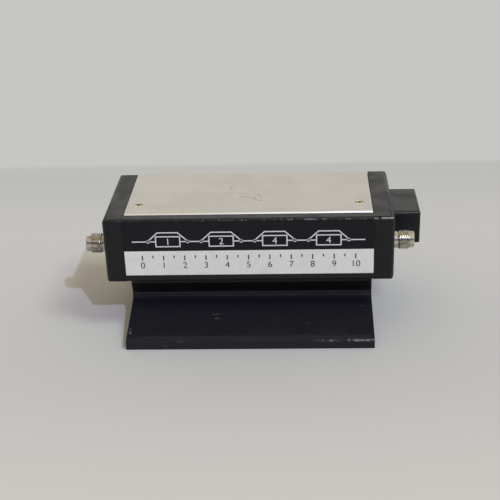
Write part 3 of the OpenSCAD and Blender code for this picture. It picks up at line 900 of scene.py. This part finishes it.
WHITE_INK = PrintInk("white_ink", srgb(230, 230, 228), roughness=0.5, thin=srgb(150, 150, 152))
BLACK_INK = PrintInk("black_ink", srgb(30, 30, 32), roughness=0.5, thin=srgb(90, 90, 92))
HEADER_PLASTIC = Moulding("header_moulding", srgb(22, 22, 23), roughness=0.5, worn=srgb(52, 52, 54))
WHITE_DIELECTRIC = Moulding("white_moulding", srgb(236, 234, 226), roughness=0.45, worn=srgb(214, 208, 194))
BOBBIN_PLASTIC = Moulding("bobbin_moulding", srgb(44, 44, 48), roughness=0.5)
CARD_CERAMIC = Moulding("card_alumina", srgb(232, 228, 218), roughness=0.4, worn=srgb(180, 168, 150),
                        grain_mm=0.1, grain_depth_mm=0.003)
COIL_WIRE = WoundWire("coil_winding", srgb(176, 92, 44), roughness=0.35, metallic=0.6)
BOARD_GREEN = Laminate("board_laminate", srgb(30, 84, 48), roughness=0.42)


def dress_node(node: str, finish: Finish) -> None:
    """Gives every material slot of a CAD node a finish.

    Args:
        node: The node's name.
        finish: What its surface is.
    """
    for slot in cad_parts[node].material_slots:
        slot.material = finish.material()
    LOG.info("dressed %s with %s", node, finish.name)


def new_piece(name: str, mesh: bpy.types.Mesh, finish: Finish) -> bpy.types.Object:
    """Makes a piece that rides on the chassis.

    Args:
        name: The piece's name.
        mesh: Its mesh, in the frame's axes.
        finish: What its surface is.

    Returns:
        The piece.
    """
    mesh.materials.append(finish.material())
    piece = bpy.data.objects.new(name, mesh)
    bpy.context.scene.collection.objects.link(piece)
    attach(piece, CHASSIS)
    LOG.info("built %s with %d faces", name, len(mesh.polygons))
    return piece


def mesh_from(name: str, grown: bmesh.types.BMesh, sharp_deg: float = 35.0) -> bpy.types.Mesh:
    """Turns a grown mesh into one with outward normals and sharp edges past an angle.

    Args:
        name: The mesh's name.
        grown: What was grown, which is freed.
        sharp_deg: The angle past which an edge is sharp.

    Returns:
        The mesh.
    """
    bmesh.ops.recalc_face_normals(grown, faces=grown.faces[:])
    mesh = bpy.data.meshes.new(name)
    grown.to_mesh(mesh)
    grown.free()
    mesh.shade_smooth()
    mesh.set_sharp_from_angle(angle=math.radians(sharp_deg))
    return mesh


def soften(node: str, width_mm: float) -> None:
    """Breaks the sharp edges of a CAD node by a small round.

    Args:
        node: The node's name.
        width_mm: The round's width, less where edges lie close together.
    """
    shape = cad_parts[node]
    weld = shape.modifiers.new("joined_corners", "WELD")
    weld.merge_threshold = WELD_MM * MM
    bevel = shape.modifiers.new("broken_edges", "BEVEL")
    bevel.width = width_mm * MM
    bevel.segments = BREAK_SEGMENTS
    bevel.limit_method = "ANGLE"
    bevel.angle_limit = math.radians(BREAK_ANGLE_DEG)
    bevel.harden_normals = True


class Side(Enum):
    """The two ends of the signal line, by the way each one faces along X."""

    LEFT = -1
    RIGHT = 1


@dataclass
class Stand:
    """The bent black strip with flared feet, and its two screws."""

    edge_break_mm: float = 0.18

    def build(self) -> None:
        """Breaks the strip's edges."""
        soften("stand", self.edge_break_mm)

    def dress(self) -> None:
        """Paints the strip and plates its screws."""
        dress_node("stand", STAND_PAINT)
        dress_node("stand_screws", ZINC_SCREW)


@dataclass
class Housing:
    """The machined block, the folded cover and the end caps with their screws."""

    sheet_break_mm: float = 0.15
    cap_break_mm: float = 0.5

    def build(self) -> None:
        """Breaks the cover's cut edges and the edges of the caps."""
        soften("wrap_cover", self.sheet_break_mm)
        for side in Side:
            soften(f"{side.name.lower()}_end_cap", self.cap_break_mm)

    def dress(self) -> None:
        """Gives the block, cover, caps and screws their finishes."""
        dress_node("rf_block", BLOCK_COAT)
        dress_node("wrap_cover", COVER_SHEET)
        for side in Side:
            dress_node(f"{side.name.lower()}_end_cap", CAP_COAT)
        dress_node("cover_screws", GOLD_SCREW)
        dress_node("cap_screws", DARK_SCREW)


class Print:
    """Printed marks on the label side: flat shapes with a little thickness, in one mesh."""

    FIGURE_SHARE = 0.69
    MITRE_LIMIT = 0.3

    def __init__(self, centre_x: float, face_y: float, thickness_mm: float = 0.02) -> None:
        """Starts with no mark.

        Args:
            centre_x: The label's middle along X, in metres.
            face_y: The face that they lie on, in metres.
            thickness_mm: The ink's thickness.
        """
        self.grown = bmesh.new()
        self.centre_x = centre_x
        self.face_y = face_y
        self.thickness = thickness_mm * MM

    def shape(self, outline_mm: Sequence[Pair], base_z: float) -> None:
        """Adds a filled outline.

        Args:
            outline_mm: Its corners, from the middle of the label and up from the base.
            base_z: Height in metres that upward measures start from.
        """
        corners = [(self.centre_x + x * MM, base_z + z * MM) for x, z in outline_mm]
        front, back = ([self.grown.verts.new((x, y, z)) for x, z in corners]
                       for y in (self.face_y - self.thickness, self.face_y))
        self.grown.faces.new(front)
        self.grown.faces.new(back[::-1])
        for i in range(len(front)):
            self.grown.faces.new((front[i - 1], front[i], back[i], back[i - 1]))

    def bar(self, low_mm: Pair, high_mm: Pair, base_z: float) -> None:
        """Adds an upright rectangle between two corners."""
        (x0, z0), (x1, z1) = low_mm, high_mm
        self.shape([(x0, z0), (x1, z0), (x1, z1), (x0, z1)], base_z)

    def box(self, middle_mm: Pair, half_mm: Pair, line_mm: float, base_z: float) -> None:
        """Adds the outline of a rectangle as four bars.

        Args:
            middle_mm: Its middle.
            half_mm: Half its width and half its height.
            line_mm: The line's width.
            base_z: Height in metres that upward measures start from.
        """
        (x, z), (w, h) = middle_mm, half_mm
        for way in (-1, 1):
            edge = z + way * (h - line_mm / 2)
            self.bar((x - w, edge - line_mm / 2), (x + w, edge + line_mm / 2), base_z)
            edge = x + way * (w - line_mm / 2)
            self.bar((edge - line_mm / 2, z - h + line_mm), (edge + line_mm / 2, z + h - line_mm), base_z)

    def dot(self, middle_mm: Pair, radius_mm: float, base_z: float, sides: int = 28) -> None:
        """Adds a filled round.

        Args:
            middle_mm: Its middle.
            radius_mm: Its radius.
            base_z: Height in metres that upward measures start from.
            sides: How many corners it has.
        """
        turns = [2 * math.pi * k / sides for k in range(sides)]
        self.shape([(middle_mm[0] + radius_mm * math.cos(a), middle_mm[1] + radius_mm * math.sin(a))
                    for a in turns], base_z)

    def line(self, points_mm: Sequence[Pair], width_mm: float, base_z: float) -> None:
        """Adds a line of an even width through points, mitred at its corners.

        Args:
            points_mm: The points.
            width_mm: The line's width.
            base_z: Height in metres that upward measures start from.
        """
        spots = [Vector(p) for p in points_mm]
        left, right = [], []
        for k, spot in enumerate(spots):
            before = (spot - spots[k - 1]).normalized() if k else None
            after = (spots[k + 1] - spot).normalized() if k + 1 < len(spots) else None
            along = (before or after) + (after or before)
            along.normalize()
            across = Vector((-along.y, along.x))
            stretch = width_mm / 2 / max(self.MITRE_LIMIT, along.dot(after or before))
            left.append(tuple(spot + across * stretch))
            right.append(tuple(spot - across * stretch))
        self.shape(left + right[::-1], base_z)

    def number(self, value: int, middle_mm: Pair, height_mm: float, base_z: float) -> None:
        """Adds a plain number, centred.

        Args:
            value: The number.
            middle_mm: Its middle, from the middle of the label and up from the base.
            height_mm: Height of its figures.
            base_z: Height in metres that upward measures start from.
        """
        letters = bpy.data.curves.new("figure", "FONT")
        letters.body = str(value)
        letters.size = height_mm * MM / self.FIGURE_SHARE
        letters.extrude = self.thickness / 2
        letters.align_x = "CENTER"
        carrier = bpy.data.objects.new("figure", letters)
        bpy.context.scene.collection.objects.link(carrier)
        bpy.context.view_layer.update()
        shape = bpy.data.meshes.new_from_object(carrier)
        foot = Vector((self.centre_x + middle_mm[0] * MM, self.face_y - self.thickness / 2,
                       base_z + (middle_mm[1] - height_mm / 2) * MM))
        shape.transform(Matrix.Translation(foot) @ Matrix.Rotation(math.pi / 2, 4, "X"))
        self.grown.from_mesh(shape)
        bpy.data.objects.remove(carrier)
        bpy.data.curves.remove(letters)
        bpy.data.meshes.remove(shape)


@dataclass
class FrontLabel:
    """The black panel and the white strip, with a plain diagram of the sections and a plain scale."""

    section_pitch_mm: float = 18.5
    section_values: tuple[int, ...] = (1, 2, 4, 4)
    box_half_mm: Pair = (4.4, 2.1)
    wire_mm: float = 0.42
    dot_share: float = 1.5
    line_height_mm: float = 3.6
    bypass_rise_mm: float = 3.4
    node_reach_mm: float = 6.9
    end_reach_mm: float = 40.2
    figure_mm: float = 2.4
    scale_steps: int = 10
    scale_half_mm: float = 37.0
    tick_top_mm: float = 7.6
    tick_mm: float = 1.9
    short_tick_share: float = 0.55
    scale_figure_mm: float = 2.3
    scale_figure_height_mm: float = 2.7

    def build(self) -> None:
        """Prints both parts of the label."""
        self._panel()
        self._strip()

    def dress(self) -> None:
        """Gives the two films their finishes."""
        dress_node("name_label", PANEL_FILM)
        dress_node("rating_label", STRIP_FILM)

    def _panel(self) -> None:
        """Prints the four sections in a row, each with its value and the line that passes it by."""
        low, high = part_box("name_label")
        marks = Print((low.x + high.x) / 2, low.y)
        height, (half_w, _) = self.line_height_mm, self.box_half_mm
        half = self.wire_mm / 2
        count = len(self.section_values)
        middles = [(k - (count - 1) / 2) * self.section_pitch_mm for k in range(count)]
        for middle, value in zip(middles, self.section_values):
            marks.box((middle, height), self.box_half_mm, self.wire_mm, low.z)
            marks.number(value, (middle, height), self.figure_mm, low.z)
            rise = height + self.bypass_rise_mm
            slope = self.node_reach_mm - self.bypass_rise_mm
            bypass = [(middle - self.node_reach_mm, height + half), (middle - slope, rise),
                      (middle + slope, rise), (middle + self.node_reach_mm, height + half)]
            marks.line(bypass, self.wire_mm, low.z)
            for way in (-1, 1):
                marks.dot((middle + way * self.node_reach_mm, height), self.wire_mm * self.dot_share, low.z)
        stops = [-self.end_reach_mm]
        for middle in middles:
            stops += [middle - half_w, middle + half_w]
        stops.append(self.end_reach_mm)
        for start, end in zip(stops[::2], stops[1::2]):
            marks.bar((start, height - half), (end, height + half), low.z)
        new_piece("panel_print", mesh_from("panel_print", marks.grown), WHITE_INK)

    def _strip(self) -> None:
        """Prints a scale of ticks and plain numbers."""
        low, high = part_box("rating_label")
        marks = Print((low.x + high.x) / 2, low.y)
        step = 2 * self.scale_half_mm / self.scale_steps
        half = self.wire_mm / 2
        for k in range(2 * self.scale_steps + 1):
            x = k * step / 2 - self.scale_half_mm
            length = self.tick_mm if k % 2 == 0 else self.tick_mm * self.short_tick_share
            marks.bar((x - half, self.tick_top_mm - length), (x + half, self.tick_top_mm), low.z)
            if k % 2 == 0:
                marks.number(k // 2, (x, self.scale_figure_height_mm + self.scale_figure_mm / 2),
                             self.scale_figure_mm, low.z)
        new_piece("strip_print", mesh_from("strip_print", marks.grown), BLACK_INK)


@dataclass
class CoaxPort:
    """One coaxial port: a turned body with its coupling thread, a bead and a centre contact."""

    side: Side
    segments: int = 144
    thread_pitch_mm: float = 0.75
    thread_depth_mm: float = 0.4
    thread_r_mm: float = 3.5
    thread_from_mm: float = 1.65
    thread_to_mm: float = 5.45
    thread_cut_mm: float = 0.25
    crest_share: float = 0.14
    root_share: float = 0.24
    rings_per_pitch: int = 14
    nose_r_mm: float = 2.95
    tip_cut_mm: float = 0.25
    groove_r_mm: float = 2.75
    groove_mm: float = 0.4
    neck_r_mm: float = 3.0
    flange_r_mm: float = 5.0
    flange_mm: float = 1.6
    spigot_mm: float = 5.0
    socket_r_mm: float = 2.4
    socket_mm: float = 2.2
    line_r_mm: float = 1.2
    bead_r_mm: float = 1.85
    bead_mm: float = 1.2
    edge_mm: float = 0.08

    def build(self) -> None:
        """Turns the body with its thread in place of the plain CAD body."""
        node = f"{self.side.name.lower()}_connector"
        low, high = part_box(node)
        axis = (low + high) / 2
        tip = high.x if self.side is Side.RIGHT else low.x
        grown = bmesh.new()
        rings = []
        for depth, radius, threaded in self._profile((high.x - low.x) / MM):
            x = tip - self.side.value * depth * MM
            ring = []
            for k in range(self.segments):
                turn = 2 * math.pi * k / self.segments
                r = radius * MM
                if threaded:
                    r = min(r, (self.thread_r_mm - self._cut(x / MM, turn)) * MM)
                ring.append(grown.verts.new((x, axis.y + r * math.cos(turn), axis.z + r * math.sin(turn))))
            rings.append(ring)
        for before, ring in zip(rings[-1:] + rings[:-1], rings):
            for k in range(self.segments):
                grown.faces.new((before[k - 1], before[k], ring[k], ring[k - 1]))
        name = f"{self.side.name.lower()}_threaded_port"
        piece = new_piece(name, mesh_from(name, grown), PORT_STEEL)
        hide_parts(node)

    def dress(self) -> None:
        """Gives the bead and the centre contact their finishes."""
        dress_node(f"{self.side.name.lower()}_bead", WHITE_DIELECTRIC)
        dress_node(f"{self.side.name.lower()}_center_contact", GOLD_CONTACT)

    def _cut(self, x_mm: float, turn: float) -> float:
        """Cuts the right-hand thread.

        Args:
            x_mm: The place along the line.
            turn: The turn about it, in radians.

        Returns:
            The depth in millimetres.
        """
        phase = (x_mm / self.thread_pitch_mm - turn / (2 * math.pi)) % 1.0
        rise = 1 - self.crest_share - self.root_share
        flank = (1 - abs(2 * phase - 1) - self.crest_share) / rise
        return self.thread_depth_mm * min(1.0, max(0.0, flank))

    def _profile(self, length_mm: float) -> list[tuple[float, float, bool]]:
        """Gives the closed profile of a body.

        Args:
            length_mm: The body's whole length.

        Returns:
            Its corners as depth behind the tip, radius, and whether the thread cuts it.
        """
        cut, edge = self.thread_cut_mm, self.edge_mm
        count = round((self.thread_to_mm - self.thread_from_mm) / self.thread_pitch_mm * self.rings_per_pitch)
        thread = []
        for k in range(count + 1):
            depth = self.thread_from_mm + (self.thread_to_mm - self.thread_from_mm) * k / count
            inset = min(depth - self.thread_from_mm, self.thread_to_mm - depth)
            thread.append((depth, self.thread_r_mm - max(0.0, cut - inset), True))
        groove_end = self.thread_to_mm + self.groove_mm
        flange_back = length_mm - self.spigot_mm
        flange_front = flange_back - self.flange_mm
        bead_end = length_mm - self.bead_mm
        nose = [(0.0, self.socket_r_mm + edge), (0.0, self.nose_r_mm - self.tip_cut_mm),
                (self.tip_cut_mm, self.nose_r_mm), (self.thread_from_mm, self.nose_r_mm)]
        back = [(self.thread_to_mm, self.groove_r_mm), (groove_end, self.groove_r_mm),
                (groove_end, self.neck_r_mm - edge), (groove_end + edge, self.neck_r_mm),
                (flange_front, self.neck_r_mm), (flange_front, self.flange_r_mm),
                (flange_back, self.flange_r_mm), (flange_back, self.neck_r_mm),
                (length_mm, self.neck_r_mm), (length_mm, self.bead_r_mm),
                (bead_end, self.bead_r_mm), (bead_end, self.line_r_mm),
                (self.socket_mm, self.line_r_mm), (self.socket_mm, self.socket_r_mm),
                (edge, self.socket_r_mm)]
        return [(*p, False) for p in nose] + thread + [(*p, False) for p in back]


@dataclass
class ControlHeader:
    """The pin header inside the shroud of the right cap, and both boards with their spacers."""

    pin_break_mm: float = 0.08

    def build(self) -> None:
        """Breaks the edges of the pins."""
        soften("header_pins", self.pin_break_mm)

    def dress(self) -> None:
        """Gives the housing, pins, boards and spacers their finishes."""
        dress_node("header_housing", HEADER_PLASTIC)
        dress_node("header_pins", GOLD_CONTACT)
        dress_node("header_board", BOARD_GREEN)
        dress_node("circuit_board", BOARD_GREEN)
        dress_node("board_spacers", SPACER_BRASS)


@dataclass
class SwitchTrain:
    """The signal channel, and the four solenoids that switch its sections."""

    shared: dict[str, Finish] = field(default_factory=lambda: {
        "guide_plate": MILLED_PLATE,
        "guide_screws": ZINC_SCREW,
        "frame_screws": ZINC_SCREW,
        "line_posts": WHITE_DIELECTRIC,
        "link_contacts": GOLD_CONTACT,
        "thru_lines": GOLD_CONTACT,
        "latch_magnets": SOFT_IRON,
    })
    each: dict[str, Finish] = field(default_factory=lambda: {
        "attenuator_card": CARD_CERAMIC,
        "solenoid_frame": SOFT_IRON,
        "bobbin": BOBBIN_PLASTIC,
        "winding": COIL_WIRE,
        "plunger": SOFT_IRON,
        "push_pins": WHITE_DIELECTRIC,
        "reeds": GOLD_CONTACT,
    })

    def build(self) -> None:
        """Adds nothing: the CAD solids have their true form."""

    def dress(self) -> None:
        """Gives the shared pieces and each section's pieces their finishes."""
        for node, finish in self.shared.items():
            dress_node(node, finish)
        for kind, finish in self.each.items():
            for number in SECTIONS:
                dress_node(f"{kind}_{number}", finish)


@dataclass(frozen=True)
class PhotoCamera:
    """The camera, fitted to the corners of the body in the photograph."""

    focal_px: float = 1059.7
    pitch_deg: float = 25.74
    yaw_deg: float = -3.29
    roll_deg: float = -2.09
    eye_mm: Triple = (17.86, -350.54, 191.22)
    sensor_mm: float = 36.0
    clip_start_mm: float = 10.0

    def build(self) -> None:
        """Places the camera and makes it the scene's own."""
        pitch, yaw, roll = (math.radians(a) for a in (self.pitch_deg, self.yaw_deg, self.roll_deg))
        ahead = Vector((math.sin(yaw) * math.cos(pitch), math.cos(yaw) * math.cos(pitch), -math.sin(pitch)))
        level = Vector((math.cos(yaw), -math.sin(yaw), 0.0))
        upright = level.cross(ahead)
        right = level * math.cos(roll) + upright * math.sin(roll)
        up = upright * math.cos(roll) - level * math.sin(roll)
        data = bpy.data.cameras.new("photo_camera")
        data.sensor_width = self.sensor_mm
        data.lens = self.focal_px / IMAGE_PX * self.sensor_mm
        data.clip_start = self.clip_start_mm * MM
        camera = bpy.data.objects.new("photo_camera", data)
        turn = Matrix((right, up, -ahead)).transposed().to_4x4()
        camera.matrix_world = Matrix.Translation(Vector(self.eye_mm) * MM) @ turn
        bpy.context.scene.collection.objects.link(camera)
        bpy.context.scene.camera = camera
        LOG.info("placed the camera")


@dataclass(frozen=True)
class Sun:
    """A far lamp: its bearing from the front, how wide it looks, and its share of the floor's light."""

    name: str
    elevation_deg: float
    azimuth_deg: float
    width_deg: float
    share: Triple

    def build(self) -> None:
        """Hangs the lamp so that a white floor gets the share from it."""
        up, aside = math.radians(self.elevation_deg), math.radians(self.azimuth_deg)
        flat = math.cos(up)
        towards = Vector((flat * math.sin(aside), -flat * math.cos(aside), math.sin(up)))
        lamp = bpy.data.lights.new(self.name, "SUN")
        peak = max(self.share)
        lamp.color = [part / peak for part in self.share]
        lamp.energy = math.pi * peak / towards.z
        lamp.angle = math.radians(self.width_deg)
        holder = bpy.data.objects.new(self.name, lamp)
        holder.location = towards
        holder.rotation_euler = towards.to_track_quat("Z", "Y").to_euler()
        bpy.context.scene.collection.objects.link(holder)


@dataclass(frozen=True)
class Studio:
    """The pale floor, a hard cool lamp, a soft lamp beside it and the warm light all round."""

    floor_half: float = 4.0
    floor_roughness: float = 0.8
    floor_near: Colour = srgb(200, 197, 193)
    floor_mid: Colour = srgb(191, 190, 187)
    floor_back: Colour = srgb(185, 185, 181)
    floor_far: Colour = srgb(194, 194, 192)
    near_mm: Pair = (-130.0, -40.0)
    back_mm: Pair = (60.0, 130.0)
    far_mm: Pair = (141.0, 147.0)
    suns: tuple[Sun, ...] = (
        Sun("hard_lamp", elevation_deg=41.8, azimuth_deg=28.3, width_deg=1.2, share=(0.195, 0.205, 0.325)),
        Sun("soft_lamp", elevation_deg=55.0, azimuth_deg=58.0, width_deg=17.0, share=(0.230, 0.272, 0.252)),
    )
    around: Colour = (0.665, 0.585, 0.445, 1.0)
    wall: Colour = (1.0, 0.99, 0.96, 1.0)
    room: Colour = (0.13, 0.12, 0.12, 1.0)
    backdrop: Colour = srgb(199, 198, 196)
    low_sky: Pair = (0.85, 0.35)
    behind_span: Pair = (0.1, 0.6)
    front_span: Pair = (0.15, -0.55)
    horizon: Pair = (0.20, 0.06)

    def build(self) -> None:
        """Makes the floor, the lamps and the surroundings."""
        bpy.context.scene.view_settings.view_transform = "Standard"
        self._floor()
        for sun in self.suns:
            sun.build()
        self._surroundings()
        LOG.info("built the studio")

    def _floor(self) -> None:
        """Lays the floor, a little paler far in front of the object and past a seam far behind it."""
        grown = bmesh.new()
        bmesh.ops.create_grid(grown, x_segments=1, y_segments=1, size=self.floor_half)
        mesh = bpy.data.meshes.new("floor")
        grown.to_mesh(mesh)
        grown.free()
        made = bpy.data.materials.new("floor_paper")
        made.use_nodes = True
        wires = Wires(made.node_tree)
        shader = made.node_tree.nodes["Principled BSDF"]
        shader.inputs["Specular IOR Level"].default_value = 0.0
        shader.inputs["Roughness"].default_value = self.floor_roughness
        place = wires.scaled(wires.add("ShaderNodeTexCoord").outputs["Object"], 1 / MM)
        depth = wires.split(place)[1]
        tone = wires.mix(wires.remap(depth, *self.near_mm), self.floor_near, self.floor_mid)
        tone = wires.mix(wires.remap(depth, *self.back_mm), tone, self.floor_back)
        tone = wires.mix(wires.remap(depth, *self.far_mm), tone, self.floor_far)
        wires.feed(shader.inputs["Base Color"], tone)
        mesh.materials.append(made)
        floor = bpy.data.objects.new("floor", mesh)
        bpy.context.scene.collection.objects.link(floor)

    def _surroundings(self) -> None:
        """Lights the object from all round: a pale wall behind it, a dim room in front, a pale horizon."""
        world = bpy.data.worlds.new("studio")
        bpy.context.scene.world = world
        world.use_nodes = True
        wires = Wires(world.node_tree)
        glow = world.node_tree.nodes["Background"]
        ways = wires.split(wires.add("ShaderNodeTexCoord").outputs["Generated"])
        low = wires.remap(ways[2], *self.low_sky)
        behind = wires.math("MULTIPLY", wires.remap(ways[1], *self.behind_span), low)
        front = wires.math("MULTIPLY", wires.remap(ways[1], *self.front_span), low)
        light = wires.mix(front, wires.mix(behind, self.around, self.wall), self.room)
        rays = wires.add("ShaderNodeLightPath").outputs
        seen = rays["Is Camera Ray"]
        for kind in ("Is Glossy Ray", "Is Transmission Ray"):
            seen = wires.math("MAXIMUM", seen, rays[kind])
        horizon = wires.math("MULTIPLY", seen, wires.remap(ways[2], *self.horizon))
        wires.feed(glow.inputs["Color"], wires.mix(horizon, light, self.backdrop))


def main() -> None:
    """Builds and dresses every sub-assembly, then the studio and the camera."""
    logging.basicConfig(level=logging.INFO, format="%(message)s")
    for part in (Stand(), Housing(), FrontLabel(), CoaxPort(Side.LEFT), CoaxPort(Side.RIGHT), ControlHeader(),
                 SwitchTrain()):
        part.build()
        part.dress()
    Studio().build()
    PhotoCamera().build()


if __name__ == "__main__":
    main()
